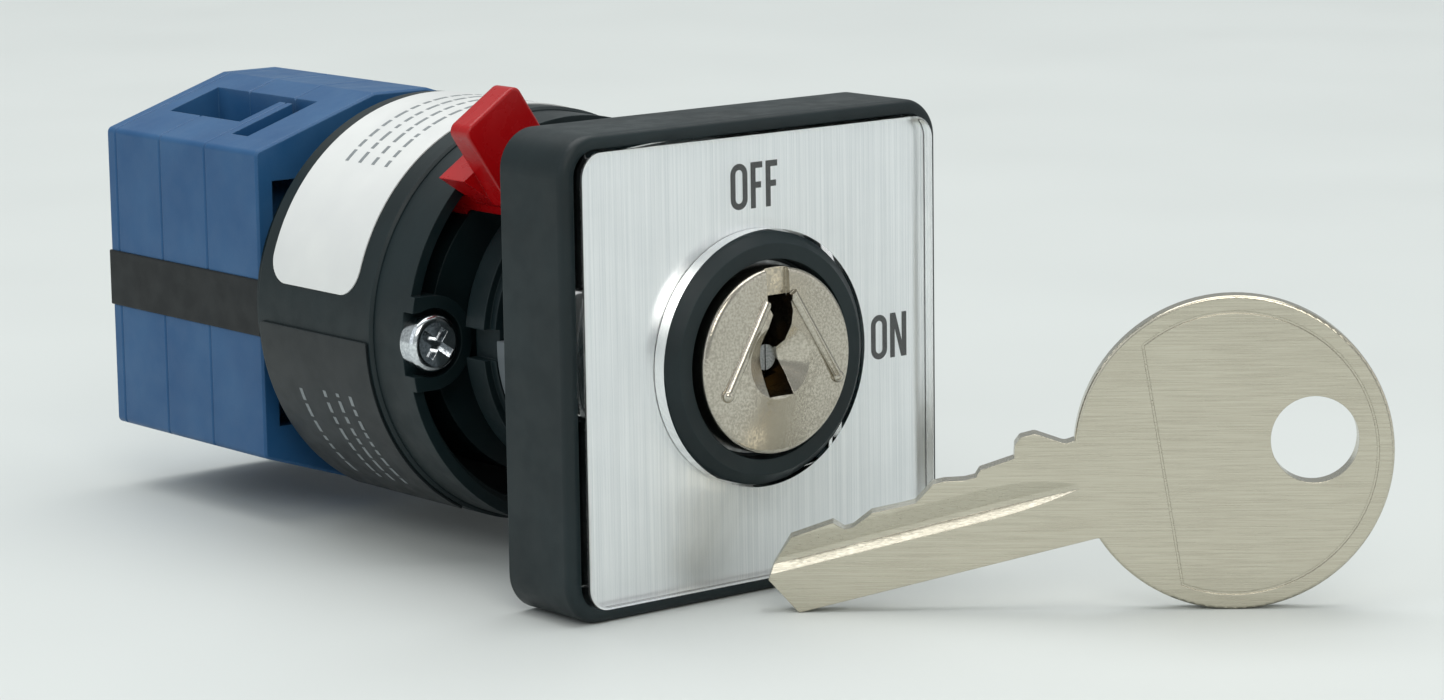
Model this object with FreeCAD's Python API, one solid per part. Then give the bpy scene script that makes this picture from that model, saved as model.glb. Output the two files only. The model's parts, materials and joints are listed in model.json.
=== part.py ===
import FreeCAD, Part
import math
import os

# Key-operated rotary selector switch, 48 mm square front plate, two positions.
# Millimetres. X to the right seen from the front, Y into the panel, Z up.
# The origin is on the switch axis, in the back face of the front plate.
# A clock angle is counted clockwise from 12 o'clock, seen from the front.

V = FreeCAD.Vector
ORIGIN = V(0, 0, 0)
REARWARD = V(0, 1, 0)
FAR = 60.0
CUT_OVER = 1.0

# ---- front plate ----
PLATE_SIDE = 48.0
PLATE_DEPTH = 9.9
PLATE_CORNER = 4.0
PLATE_EDGE_ROUND = 0.9
RIM_WIDTH = 1.4
POCKET_FLOOR_Y = -8.1
LABEL_THICKNESS = 0.4
COVER_FRONT_Y = -11.1
COVER_GAP = 0.1
COVER_EDGE_ROUND = 0.35
COVER_HOLE_R = 12.95
COVER_SLACK = 0.15
GASKET_INNER_R = 13.0
GASKET_OUTER_R = 16.0
GASKET_DEPTH = 1.0
LUG_HALF_WIDTH = 1.5
LUG_OUTER_R = 12.4
LUG_LENGTH = 2.0
PLATE_BORE_SLACK = 0.15
LABEL_BORE_SLACK = 0.2

# ---- neck, the tube through the panel hole ----
NECK_R = 11.0
NECK_BORE_R = 9.7
NECK_REAR_BORE_R = 9.0
NECK_END_Y = 26.0
COLLAR_R = 12.7
COLLAR_FRONT_Y = -11.9
COLLAR_BEVEL_R = 11.6
COLLAR_BEVEL_DEPTH = 1.1
COLLAR_BORE_R = 10.05
THREAD_START_Y = 2.0
THREAD_PITCH = 1.5
THREAD_DEPTH = 0.4
THREAD_TURNS = 12
LUG_COUNT = 4
BAYONET_ANGLE = 26.0
BAYONET_LUG_R = 12.1
BAYONET_LUG_Y = 24.0

# ---- key lock ----
LOCK_BODY_FRONT_Y = -9.6
LOCK_BODY_END_Y = 15.0
PLUG_R = 7.0
PLUG_CLEARANCE = 0.05
PLUG_FACE_R = 9.38
PLUG_FACE_Y = -13.4
PLUG_FACE_BACK_Y = -9.9
PLUG_DOME_RISE = 0.35
PLUG_RIM_ROUND = 0.5
PLUG_END_Y = 17.0
KEYWAY_END_Y = 14.2
KEYWAY_TOP_Z = 6.6
KEYWAY_BOTTOM_Z = -3.5
COUNTERSINK_R = 3.9
COUNTERSINK_DEPTH = 2.2
NOTCH_HALF_WIDTH = 1.45
NOTCH_DEPTH = 0.8
RIB_R = 0.55
RIB_END_R = 0.65
RIB_SINK = 0.2
SHUTTER_R = 1.3
SHUTTER_PLACE = (-0.35, 0.2)
SHUTTER_Y = (-11.4, -11.1)
SHUTTER_GAP = (-0.42, -0.28)
CLIP_THICKNESS = 0.8
CLIP_GROOVE_R = 6.2
CLIP_OUTER_R = 8.2
CLIP_BACK_GAP = 0.1
TENON_HALF_HEIGHT = 4.0
TENON_HALF_WIDTH = 1.5
TENON_END_Y = 19.4
TENON_SIDE_PLAY = 0.05
TENON_END_PLAY = 0.1
TENON_TIP_PLAY = 0.3
LOCK_SLOT_ROOM = 0.3
CLIP_GAP_CLOCK = (150, 210)
COUPLING_R = 7.1
COUPLING_END_Y = 31.5
COUPLING_FRONT_GAP = 0.2
WAFER_THICKNESS = 1.2
WAFER_HALF_WIDTH = 4.4
WAFER_SLACK = 0.08
WAFER_TRAVEL = 0.8
WINDOW_HALF_WIDTH = 2.3
WINDOW_WALL = 0.9
KEY_PLAY = 0.2
SPRING_SHELF_WIDTH = 1.0
SPRING_SHELF_Z = -3.9
SPRING_SEAT_Z = -1.2
SPRING_X = -3.92
SPRING_MEAN_R = 0.32
SPRING_WIRE_R = 0.14
SPRING_HEIGHT = 2.25
SPRING_TURNS = 3
SPRING_PLAY = 0.02

# ---- key, in its own axes: u along the blade, w up to the cuts ----
KEY_THICKNESS = 2.3
KEY_TIP_U = -2.08
BLADE_HEIGHT = 9.7
SHOULDER_U = 24.6
BOW_R = 15.6
BOW_U = 45.1
BOW_W = 4.9
KEY_HOLE_R = 4.3
KEY_HOLE_U = 53.0
KEY_HOLE_W = 4.3
BOW_EDGE_ROUND = 0.3
# each groove across the blade, as (height on the blade, depth)
SIDE_GROOVE = [(4.4, 0.0), (5.2, 0.75), (5.7, 0.75), (7.5, 0.0)]
BACK_GROOVE = [(0.9, 0.0), (1.8, 0.5), (2.7, 0.0)]
GROOVE_LIFT_U = 21.0
GROOVE_CUTTER_R = 50.0
ENGRAVED_LINE_WIDTH = 0.25
ENGRAVED_LINE_DEPTH = 0.12
ENGRAVED_LINE_INSET = 1.5
ENGRAVED_CHORD_U = 37.9
ENGRAVED_CHORD_TILT = 4.5
# where each wafer rides on the blade, and the blade height left there
WAFER_SEATS = [(6.8, 6.95), (10.0, 7.9), (13.2, 7.8), (16.4, 9.2), (19.6, 8.8)]
# the loose key stands on the floor beside the front plate
FLOOR_Z = -PLATE_SIDE / 2
KEY_FOOT_X = -2.2
KEY_FOOT_Y = -18.4
KEY_HEADING = -40.7

# ---- behind the panel ----
SPACER_INNER_R = 11.4
SPACER_OUTER_R = 15.3
SPACER_Y = (9.4, 13.2)
SPACER_TOP_Z = 0.5
NUT_R = 16.2
NUT_STEP_R = 15.4
NUT_Y = (13.4, 14.3, 17.4)
NUT_SLOTS = 6
NUT_SLOT_HALF = 1.6
NUT_SLOT_FLOOR_R = 14.8
LOCK_RING_R = 16.8
LOCK_RING_WALL = 1.2
LOCK_RING_Y = (22.6, 31.0)
LOCK_WEB_END_Y = 23.7
LOCK_WEB_INNER_R = 12.4
LOCK_LUG_R = 11.2
LEVER_CLOCK = -33.5
LEVER_HALF_WIDTH = 3.9
LEVER_INNER_R = 19.6
LEVER_OUTER_R = 29.4
LEVER_Y = (12.0, 15.0)
LEVER_TOP_ROUND = 1.0
LEVER_EDGE_ROUND = 0.3
LEVER_FOOT_END_Y = 19.3
LEVER_TONGUE_HALF = 3.0
LEVER_TONGUE_TOP = 19.2
LEVER_TONGUE_END_Y = 29.0

# ---- housing ----
HOUSING_R = 22.0
HOUSING_Y = (26.0, 47.0)
HOUSING_FRONT_BORE_R = 20.4
HOUSING_FLOOR_Y = (32.0, 35.0)
HOUSING_REAR_BORE_R = 18.5
SPIGOT_OUTER_R = 8.8
SPIGOT_BORE_R = 7.4
SPIGOT_FRONT_Y = 20.4
CAGE_R = 21.6
CAGE_FRONT_Y = 20.0
CAGE_LIP_R = 19.7
CAGE_LIP_Y = (21.2, 22.0)
CAGE_SCREW_X = 18.9
CUP_R = 4.9
CUP_BORE_R = 3.6
CUP_FRONT_Y = 19.3
CUP_FLOOR_Y = (20.9, 22.2)
CAGE_SCREW_R = 1.25
CAGE_SCREW_HEAD_R = 3.0
CAGE_SCREW_HEAD_Y = 18.6
CAGE_SCREW_HEAD_ROUND = 0.8
CAGE_SCREW_END_Y = 34.4
SLOT_REACH = 2.1
CROSS_REACH = 1.7
RECESS_TURN = 35
LABEL_RISE = 0.12
LABEL_Y = (29.0, 45.0)
LABEL_CLOCK = (-80.0, 38.0)
PAD_Y = (26.6, 46.4)
PAD_CLOCK = (-152.0, -91.5)
PAD_RISE = 0.3

# ---- detent and stop ----
WHEEL_R = 9.5
WHEEL_Y = (36.5, 41.5)
NOSE_R = 1.6
NOTCH_SLACK = 0.12
NOSE_X = 10.3
LEAF_THICKNESS = 0.4
LEAF_HALF_LENGTH = 9.6
LEAF_POST_WIDTH = 2.2
LEAF_POST_OVER = 0.6
STOP_Y = (42.4, 44.2)
STOP_HUB_R = 7.5
STOP_ARM_R = 12.5
STOP_ARM_ANGLE = 16.0
STOP_ARM_CLOCK = -135.0
STOP_GAP_ANGLE = 1.5
STOP_POST_ANGLE = 12
STOP_POST_INNER_R = 11.0
STOP_POST_LEAD = 0.4
BEARING_Y = (45.0, 47.0, 51.1)
BEARING_R = 18.4
BEARING_FLANGE_R = 19.5
SHAFT_BORE_R = 4.6

# ---- contact block ----
BLOCK_HALF_WIDTH = 19.1
BLOCK_SIDE_Z = 16.7
BLOCK_TOP_Z = 21.8
BLOCK_RIDGE_X = 3.5
BLOCK_EDGE_ROUND = 0.7
SEAM_CHAMFER = 0.25
STAGE_Y = (51.1, 61.4, 70.6, 79.8)
END_COVER_Y = 81.6
PARTITION = 1.3
ADAPTER_POCKET_X = (7.0, 17.1)
ADAPTER_POCKET_Z = (6.0, 13.4)
ADAPTER_POCKET_END_Y = 55.6
STRIP_Z = (-3.3, 2.9)
STRIP_SINK = 0.9
STRIP_RISE = 0.2
SHAFT_HALF = 3.0
SHAFT_Y = (25.0, 79.6)
SHAFT_CHAMFER = 0.3
CAM_HIGH_R = 7.0
CAM_LOW_R = 5.0
CAM_THICKNESS = 6.0
CAM_BORE_R = 7.5
FOLLOWER_GAP = 0.1
PLUNGER_HALF_X = 1.6
PLUNGER_HALF_Y = 2.2
PLUNGER_NOSE_R = 0.8
GUIDE_GAP = 0.15
CHAMBER_HALF_X = 5.7
CHAMBER_Z = (11.5, 20.2)
CHAMBER_HALF_Y = 3.4
FIXED_Z = (11.6, 12.6)
FIXED_X = (3.4, 13.4)
FIXED_HALF_Y = 2.1
BUTTON_X = 4.5
BUTTON_R = 0.9
BUTTON_HEIGHT = 0.5
BRIDGE_HALF_X = 5.4
BRIDGE_THICKNESS = 0.8
BRIDGE_HALF_Y = 1.9
CONTACT_TRAVEL = 2.0
TERMINAL_X = 10.25
POCKET_X = (7.0, 13.5)
POCKET_Y = (62.7, 77.1)
SLOT_X = (7.0, 16.2)
SLOT_Y = (57.0, 60.2)
SLOT_FLOOR_Z = 15.6
LINK_X = (7.0, 8.2)
LINK_FLOOR_Z = 17.4
TERMINAL_SCREW_R = 1.5
TERMINAL_HEAD_R = 2.5
TERMINAL_HEAD_Z = (13.6, 15.4)
WASHER_HALF_X = 2.9
WASHER_HALF_Y = 2.3
TERMINAL_SHANK_DEPTH = 3.3
CONTACT_SPRING_R = 1.5
CONTACT_WIRE_R = 0.22
CONTACT_SPRING_PLAY = 0.03
CONTACT_GAP_REST = 0.05
TIE_X = 14.6
TIE_R = 1.5
TIE_HEAD_R = 2.7
TIE_HEAD_LENGTH = 2.0
TIE_HEAD_ROUND = 0.5


# ---- plain shapes ----
def disc(radius, y0, y1, x=0.0, z=0.0):
    """Round bar along Y."""
    return Part.makeCylinder(radius, y1 - y0, V(x, y0, z), REARWARD)


def ring(outer, inner, y0, y1):
    return disc(outer, y0, y1).cut(disc(inner, y0 - CUT_OVER, y1 + CUT_OVER))


def block(x0, x1, y0, y1, z0, z1):
    return Part.makeBox(x1 - x0, y1 - y0, z1 - z0, V(x0, y0, z0))


def turned(profile):
    """Solid turned about the switch axis from (radius, y) points."""
    points = [V(radius, y, 0) for radius, y in profile]
    face = Part.Face(Part.makePolygon(points + points[:1]))
    return face.revolve(ORIGIN, REARWARD, 360)


def plate(outline, y0, y1):
    """Flat plate across the axis from (x, z) points."""
    points = [V(x, y0, z) for x, z in outline]
    face = Part.Face(Part.makePolygon(points + points[:1]))
    return face.extrude(V(0, y1 - y0, 0))


def sector(clock_from, clock_to, y0, y1):
    """Wedge of the whole cross-section between two clock angles."""
    steps = 4
    outline = [(0.0, 0.0)]
    for i in range(steps + 1):
        angle = math.radians(clock_from + (clock_to - clock_from) * i / steps)
        outline.append((FAR * math.sin(angle), FAR * math.cos(angle)))
    return plate(outline, y0, y1)


def turned_to(shape, clock):
    """Copy of a shape made at 12 o'clock, turned to a clock angle."""
    copy = shape.copy()
    copy.rotate(ORIGIN, REARWARD, clock)
    return copy


def across(shape, flip_x, flip_z):
    """Copy of a shape, mirrored left to right and/or top to bottom."""
    copy = shape
    if flip_x:
        copy = copy.mirror(ORIGIN, V(1, 0, 0))
    if flip_z:
        copy = copy.mirror(ORIGIN, V(0, 0, 1))
    return copy


def joined(shapes):
    return shapes[0].multiFuse(shapes[1:]).removeSplitter()


def edges_along(shape, direction):
    return [e for e in shape.Edges
            if abs(e.tangentAt(e.FirstParameter).dot(direction)) > 0.999]


def edges_at_y(shape, y):
    return [e for e in shape.Edges
            if all(abs(v.Y - y) < 1e-4 for v in e.Vertexes)]


def rounded_square(half, corner, y0, y1):
    square = block(-half, half, y0, y1, -half, half)
    return square.makeFillet(corner, edges_along(square, REARWARD))


def coil(mean_r, wire_r, height, turns):
    """Coil spring along Z from the origin; its wire is drawn eight-sided."""
    steps = 10
    sides = 8
    strokes = turns * steps
    rise = height / (2 * math.pi * turns)
    sections = []
    for i in range(strokes + 1):
        angle = 2 * math.pi * i / steps
        outward = V(math.cos(angle), math.sin(angle), 0)
        centre = outward * mean_r + V(0, 0, height * i / strokes)
        tangent = V(-mean_r * math.sin(angle), mean_r * math.cos(angle), rise)
        across_wire = tangent.cross(outward).normalize()
        points = []
        for k in range(sides):
            turn = 2 * math.pi * k / sides
            offset = outward * math.cos(turn) + across_wire * math.sin(turn)
            points.append(centre + offset * wire_r)
        sections.append(Part.Wire(Part.makePolygon(points + points[:1])))
    return Part.makeLoft(sections, True, True)


# ---- front plate ----
def bezel_frame():
    half = PLATE_SIDE / 2
    frame = rounded_square(half, PLATE_CORNER, -PLATE_DEPTH, 0)
    frame = frame.makeFillet(PLATE_EDGE_ROUND, edges_at_y(frame, -PLATE_DEPTH))
    pocket = rounded_square(half - RIM_WIDTH, PLATE_CORNER - RIM_WIDTH,
                            -PLATE_DEPTH - CUT_OVER, POCKET_FLOOR_Y)
    groove = ring(GASKET_OUTER_R, GASKET_INNER_R, -GASKET_DEPTH, CUT_OVER)
    lug = block(-LUG_HALF_WIDTH, LUG_HALF_WIDTH, -CUT_OVER, LUG_LENGTH, NECK_R - 1, LUG_OUTER_R)
    frame = joined([frame.cut(pocket).cut(groove), lug])
    return frame.cut(disc(NECK_R + PLATE_BORE_SLACK, -FAR, FAR))


def label_plate():
    half = PLATE_SIDE / 2 - RIM_WIDTH - COVER_SLACK
    sheet = rounded_square(half, PLATE_CORNER - RIM_WIDTH - COVER_SLACK,
                           POCKET_FLOOR_Y - LABEL_THICKNESS, POCKET_FLOOR_Y)
    return sheet.cut(disc(NECK_R + LABEL_BORE_SLACK, -FAR, FAR))


def clear_cover():
    """Solid clear slab over the label plate, with a round hole for the collar."""
    half = PLATE_SIDE / 2 - RIM_WIDTH - COVER_SLACK
    corner = PLATE_CORNER - RIM_WIDTH - COVER_SLACK
    back_y = POCKET_FLOOR_Y - LABEL_THICKNESS - COVER_GAP
    slab = rounded_square(half, corner, COVER_FRONT_Y, back_y)
    slab = slab.makeFillet(COVER_EDGE_ROUND, edges_at_y(slab, COVER_FRONT_Y))
    return slab.cut(disc(COVER_HOLE_R, -FAR, FAR))


def panel_gasket():
    return ring(GASKET_OUTER_R, GASKET_INNER_R, -GASKET_DEPTH, 0)


# ---- neck ----
def thread_outline():
    """Crest and root points of the neck's thread, drawn as plain grooves."""
    points = []
    for turn in range(THREAD_TURNS):
        y = THREAD_START_Y + turn * THREAD_PITCH
        points.append((NECK_R, y))
        points.append((NECK_R - THREAD_DEPTH, y + THREAD_PITCH / 2))
    points.append((NECK_R, THREAD_START_Y + THREAD_TURNS * THREAD_PITCH))
    return points


def neck_barrel():
    shoulder_y = POCKET_FLOOR_Y - LABEL_THICKNESS
    profile = [(COLLAR_BORE_R, COLLAR_FRONT_Y), (COLLAR_BEVEL_R, COLLAR_FRONT_Y),
               (COLLAR_R, COLLAR_FRONT_Y + COLLAR_BEVEL_DEPTH), (COLLAR_R, shoulder_y),
               (NECK_R, shoulder_y)]
    profile += thread_outline()
    profile += [(NECK_R, NECK_END_Y), (NECK_REAR_BORE_R, NECK_END_Y),
                (NECK_REAR_BORE_R, LOCK_BODY_END_Y), (NECK_BORE_R, LOCK_BODY_END_Y),
                (NECK_BORE_R, LOCK_BODY_FRONT_Y), (COLLAR_BORE_R, LOCK_BODY_FRONT_Y)]
    return joined([turned(profile)] + bayonet_lugs())


def bayonet_lugs():
    band = ring(BAYONET_LUG_R, NECK_R - 0.5, BAYONET_LUG_Y, NECK_END_Y)
    half = BAYONET_ANGLE / 2
    lug = band.common(sector(-half, half, BAYONET_LUG_Y, NECK_END_Y))
    return [turned_to(lug, 45 + 90 * i) for i in range(LUG_COUNT)]


# ---- key lock ----
def keyway_outline():
    """Warded section of the keyway: one ward on the left, one on the right."""
    return [(-1.4, KEYWAY_TOP_Z), (-1.4, 5.75), (-0.85, 4.7), (-1.4, 3.65), (-1.9, 1.7),
            (-1.5, -0.4), (-1.4, KEYWAY_BOTTOM_Z), (1.65, KEYWAY_BOTTOM_Z), (1.4, -1.5),
            (0.62, 1.2), (1.32, 1.9), (1.5, 3.6), (1.75, 4.9), (1.4, KEYWAY_TOP_Z)]


def wafer_rows():
    """Middle of each wafer along the axis when the key is home, and the blade height there."""
    return [(PLUG_FACE_Y + SHOULDER_U - u, height) for u, height in WAFER_SEATS]


def wafer_slot(y, slack):
    half = WAFER_THICKNESS / 2 + slack
    side = WAFER_HALF_WIDTH + slack
    shelf = block(-side, SPRING_SHELF_WIDTH - side, y - half, y + half, -FAR, SPRING_SHELF_Z)
    return block(-side, side, y - half, y + half, -FAR, FAR).cut(shelf)


def rib(clock_top, top_r, clock_bottom, bottom_r):
    """Round-topped ridge on the plug face between two places on it, with a ball at its lower end."""
    ends = []
    for clock, radius in ((clock_top, top_r), (clock_bottom, bottom_r)):
        angle = math.radians(clock)
        ends.append(V(radius * math.sin(angle), PLUG_FACE_Y + RIB_SINK, radius * math.cos(angle)))
    run = ends[1] - ends[0]
    bar = Part.makeCylinder(RIB_R, run.Length, ends[0], run)
    return joined([bar, Part.makeSphere(RIB_END_R, ends[1])])


def plug_face():
    """Slightly domed disc with a rolled edge."""
    edge_y = PLUG_FACE_Y + PLUG_DOME_RISE
    sag_r = (PLUG_FACE_R ** 2 + PLUG_DOME_RISE ** 2) / (2 * PLUG_DOME_RISE)
    face = disc(PLUG_FACE_R, PLUG_FACE_Y, PLUG_FACE_BACK_Y)
    dome = Part.makeSphere(sag_r, V(0, PLUG_FACE_Y + sag_r, 0))
    face = face.common(dome)
    rim = [e for e in face.Edges if len(e.Vertexes) == 1 and abs(e.Vertexes[0].Y - edge_y) < 0.05]
    return face.makeFillet(PLUG_RIM_ROUND, rim)


def lock_plug():
    clip_y = LOCK_BODY_END_Y + CLIP_BACK_GAP
    plug = joined([plug_face(), disc(PLUG_R, PLUG_FACE_BACK_Y - CUT_OVER, PLUG_END_Y)])
    ribs = [rib(-14, 6.2, -112, 7.2), rib(14, 6.9, 108, 7.9)]
    plug = joined([plug] + ribs)
    plug = plug.cut(plate(keyway_outline(), PLUG_FACE_Y - CUT_OVER, KEYWAY_END_Y))
    notch = block(-NOTCH_HALF_WIDTH, NOTCH_HALF_WIDTH, PLUG_FACE_Y - CUT_OVER,
                  PLUG_FACE_Y + NOTCH_DEPTH, KEYWAY_TOP_Z - 1, FAR)
    sink = Part.makeCone(COUNTERSINK_R * 1.5, 0.0, COUNTERSINK_DEPTH * 1.5,
                         V(0, PLUG_FACE_Y - COUNTERSINK_DEPTH / 2, 0), REARWARD)
    plug = plug.cut(notch).cut(sink)
    for y, _ in wafer_rows():
        plug = plug.cut(wafer_slot(y, WAFER_SLACK))
    plug = plug.cut(ring(FAR, CLIP_GROOVE_R, clip_y, clip_y + CLIP_THICKNESS))
    tenon = block(-TENON_HALF_WIDTH, TENON_HALF_WIDTH, PLUG_END_Y - CUT_OVER, TENON_END_Y,
                  -TENON_HALF_HEIGHT, TENON_HALF_HEIGHT)
    return joined([plug, tenon])


def lock_body():
    """Cylinder with locking slots at 12 and 3 o'clock, the two key-out places."""
    body = ring(NECK_BORE_R, PLUG_R + PLUG_CLEARANCE, LOCK_BODY_FRONT_Y, LOCK_BODY_END_Y)
    side = WAFER_HALF_WIDTH + 3 * WAFER_SLACK
    depth = PLUG_R + WAFER_TRAVEL + LOCK_SLOT_ROOM
    end_y = wafer_rows()[0][0] + WAFER_THICKNESS
    slot = block(-side, side, LOCK_BODY_FRONT_Y - CUT_OVER, end_y, 0, depth)
    return body.cut(slot).cut(turned_to(slot, 90))


def wafer_tumblers():
    """Flat plates, each with a window whose lower edge rides on the key's cuts."""
    wafers = []
    half = WAFER_THICKNESS / 2
    side = WAFER_HALF_WIDTH
    for y, seat_height in wafer_rows():
        strip = block(-side, side, y - half, y + half, -FAR, FAR)
        wafer = disc(PLUG_R, y - half, y + half).common(strip)
        cut_z = KEYWAY_TOP_Z - KEY_PLAY - seat_height
        window = block(-WINDOW_HALF_WIDTH, WINDOW_HALF_WIDTH, y - half, y + half,
                       cut_z - SPRING_PLAY, KEYWAY_TOP_Z - WINDOW_WALL)
        window = window.common(disc(PLUG_R - WINDOW_WALL, y - half, y + half))
        seat = block(-side, SPRING_SHELF_WIDTH - side, y - half, y + half, -FAR, SPRING_SEAT_Z)
        wafers.append(wafer.cut(window).cut(seat))
    return Part.makeCompound(wafers)


def wafer_springs():
    """One coil spring under the arm of each wafer."""
    springs = []
    for y, _ in wafer_rows():
        spring = coil(SPRING_MEAN_R, SPRING_WIRE_R, SPRING_HEIGHT, SPRING_TURNS)
        spring.translate(V(SPRING_X, y, SPRING_SHELF_Z + SPRING_WIRE_R + SPRING_PLAY))
        springs.append(spring)
    return Part.makeCompound(springs)


def keyway_shutter():
    """Two half-round flaps that close the keyway behind the countersink."""
    flaps = disc(SHUTTER_R, *SHUTTER_Y, *SHUTTER_PLACE)
    gap = block(SHUTTER_GAP[0], SHUTTER_GAP[1], -FAR, FAR, -FAR, FAR)
    keyway = plate(keyway_outline(), -FAR, FAR)
    return Part.makeCompound(flaps.common(keyway).cut(gap).Solids)


def plug_clip():
    """Open spring clip that keeps the plug in the lock body."""
    y = LOCK_BODY_END_Y + CLIP_BACK_GAP
    clip = ring(CLIP_OUTER_R, CLIP_GROOVE_R, y, y + CLIP_THICKNESS)
    return clip.cut(sector(*CLIP_GAP_CLOCK, y - CUT_OVER, y + CUT_OVER))


# ---- turning parts behind the lock ----
def drive_coupling():
    body = disc(COUPLING_R, PLUG_END_Y + COUPLING_FRONT_GAP, COUPLING_END_Y)
    side = TENON_HALF_WIDTH + TENON_SIDE_PLAY
    end = TENON_HALF_HEIGHT + TENON_END_PLAY
    slot = block(-side, side, 0, TENON_END_Y + TENON_TIP_PLAY, -end, end)
    socket = block(-SHAFT_HALF, SHAFT_HALF, SHAFT_Y[0], FAR, -SHAFT_HALF, SHAFT_HALF)
    return body.cut(slot).cut(socket)


def switch_shaft():
    shaft = block(-SHAFT_HALF, SHAFT_HALF, SHAFT_Y[0], SHAFT_Y[1], -SHAFT_HALF, SHAFT_HALF)
    return shaft.makeChamfer(SHAFT_CHAMFER, edges_along(shaft, REARWARD))


def square_bore():
    return block(-SHAFT_HALF, SHAFT_HALF, -FAR, 2 * FAR, -SHAFT_HALF, SHAFT_HALF)


def detent_wheel():
    wheel = disc(WHEEL_R, WHEEL_Y[0], WHEEL_Y[1])
    for i in range(4):
        notch = disc(NOSE_R + NOTCH_SLACK, -FAR, FAR, NOSE_X, 0)
        wheel = wheel.cut(turned_to(notch, 90 * i))
    return wheel.cut(square_bore())


def detent_spring():
    """Flat leaf with a half-round nose that rests in a notch of the wheel."""
    y0, y1 = WHEEL_Y
    leaf = block(NOSE_X, NOSE_X + LEAF_THICKNESS, y0, y1, -LEAF_HALF_LENGTH, LEAF_HALF_LENGTH)
    nose = disc(NOSE_R, y0, y1, NOSE_X, 0).cut(disc(NOSE_R - LEAF_THICKNESS, 0, FAR, NOSE_X, 0))
    nose = nose.common(block(0, NOSE_X + LEAF_THICKNESS, y0, y1, -FAR, FAR))
    inside = disc(NOSE_R - LEAF_THICKNESS, 0, FAR, NOSE_X, 0)
    return joined([leaf, nose]).cut(inside)


def stop_disc():
    half = STOP_ARM_ANGLE / 2
    arm = disc(STOP_ARM_R, *STOP_Y).common(sector(-half, half, *STOP_Y))
    return joined([disc(STOP_HUB_R, *STOP_Y), turned_to(arm, STOP_ARM_CLOCK)]).cut(square_bore())


def cam_radius(angle):
    """Spiral that falls evenly from the high to the low radius in a quarter turn."""
    part = (angle % 180.0) / 90.0
    fall = part if part <= 1.0 else 2.0 - part
    return CAM_HIGH_R - (CAM_HIGH_R - CAM_LOW_R) * fall


def contact_cam(stage):
    """Four matching spiral flanks, counted anticlockwise from 12 o'clock."""
    y0 = cam_middle(stage) - CAM_THICKNESS / 2
    steps = 6
    flanks = []
    for quarter in range(4):
        points = []
        for i in range(steps + 1):
            angle = 90.0 * quarter + 90.0 * i / steps
            radius = cam_radius(angle if i < steps else angle - 1e-6)
            turn = math.radians(angle)
            points.append(V(-radius * math.sin(turn), y0, radius * math.cos(turn)))
        curve = Part.BSplineCurve()
        curve.interpolate(points)
        flanks.append(curve.toShape())
    cam = Part.Face(Part.Wire(flanks)).extrude(V(0, CAM_THICKNESS, 0))
    return cam.cut(square_bore())


# ---- behind the panel ----
def panel_spacer():
    half_ring = ring(SPACER_OUTER_R, SPACER_INNER_R, *SPACER_Y)
    return half_ring.cut(block(-FAR, FAR, 0, FAR, SPACER_TOP_Z, FAR))


def ring_nut():
    front_y, step_y, back_y = NUT_Y
    nut = joined([ring(NUT_STEP_R, NECK_R, front_y, step_y), ring(NUT_R, NECK_R, step_y, back_y)])
    slot = block(-NUT_SLOT_HALF, NUT_SLOT_HALF, front_y - CUT_OVER, back_y + CUT_OVER, NUT_SLOT_FLOOR_R, FAR)
    for i in range(NUT_SLOTS):
        nut = nut.cut(turned_to(slot, 30 + 60 * i))
    return nut


def locking_ring():
    inner = LOCK_RING_R - LOCK_RING_WALL
    sleeve = ring(LOCK_RING_R, inner, *LOCK_RING_Y)
    web = ring(LOCK_RING_R, LOCK_WEB_INNER_R, LOCK_RING_Y[0], LOCK_WEB_END_Y)
    band = ring(LOCK_WEB_INNER_R + 0.5, LOCK_LUG_R, LOCK_RING_Y[0], LOCK_WEB_END_Y)
    half = BAYONET_ANGLE / 2
    lug = band.common(sector(-half, half, LOCK_RING_Y[0], LOCK_WEB_END_Y))
    return joined([sleeve, web] + [turned_to(lug, 45 + 90 * i) for i in range(LUG_COUNT)])


def locking_lever():
    """Thumb tab, with a stepped foot that runs back to the locking ring."""
    side = LEVER_HALF_WIDTH
    y0, y1 = LEVER_Y
    tab = block(-side, side, y0, y1, LEVER_INNER_R, LEVER_OUTER_R)
    tab = tab.makeFillet(LEVER_TOP_ROUND, [e for e in edges_along(tab, REARWARD) if e.Vertexes[0].Z > 25])
    tab = tab.makeFillet(LEVER_EDGE_ROUND, edges_at_y(tab, y0))
    foot = plate([(-5.4, 23.8), (side, 23.8), (side, 18.6), (-3.2, 18.6)], y1, LEVER_FOOT_END_Y)
    reach = LEVER_TONGUE_HALF
    tongue = block(-reach, reach, y1, LEVER_TONGUE_END_Y, LOCK_RING_R + 0.5, LEVER_TONGUE_TOP)
    hook = block(-reach, reach, LOCK_RING_Y[0] + 0.4, 27.0, LOCK_RING_R - 0.6, LOCK_RING_R + 0.6)
    hook = hook.cut(disc(LOCK_RING_R, 0, FAR))
    return turned_to(joined([tab, foot, tongue, hook]), LEVER_CLOCK)


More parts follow.
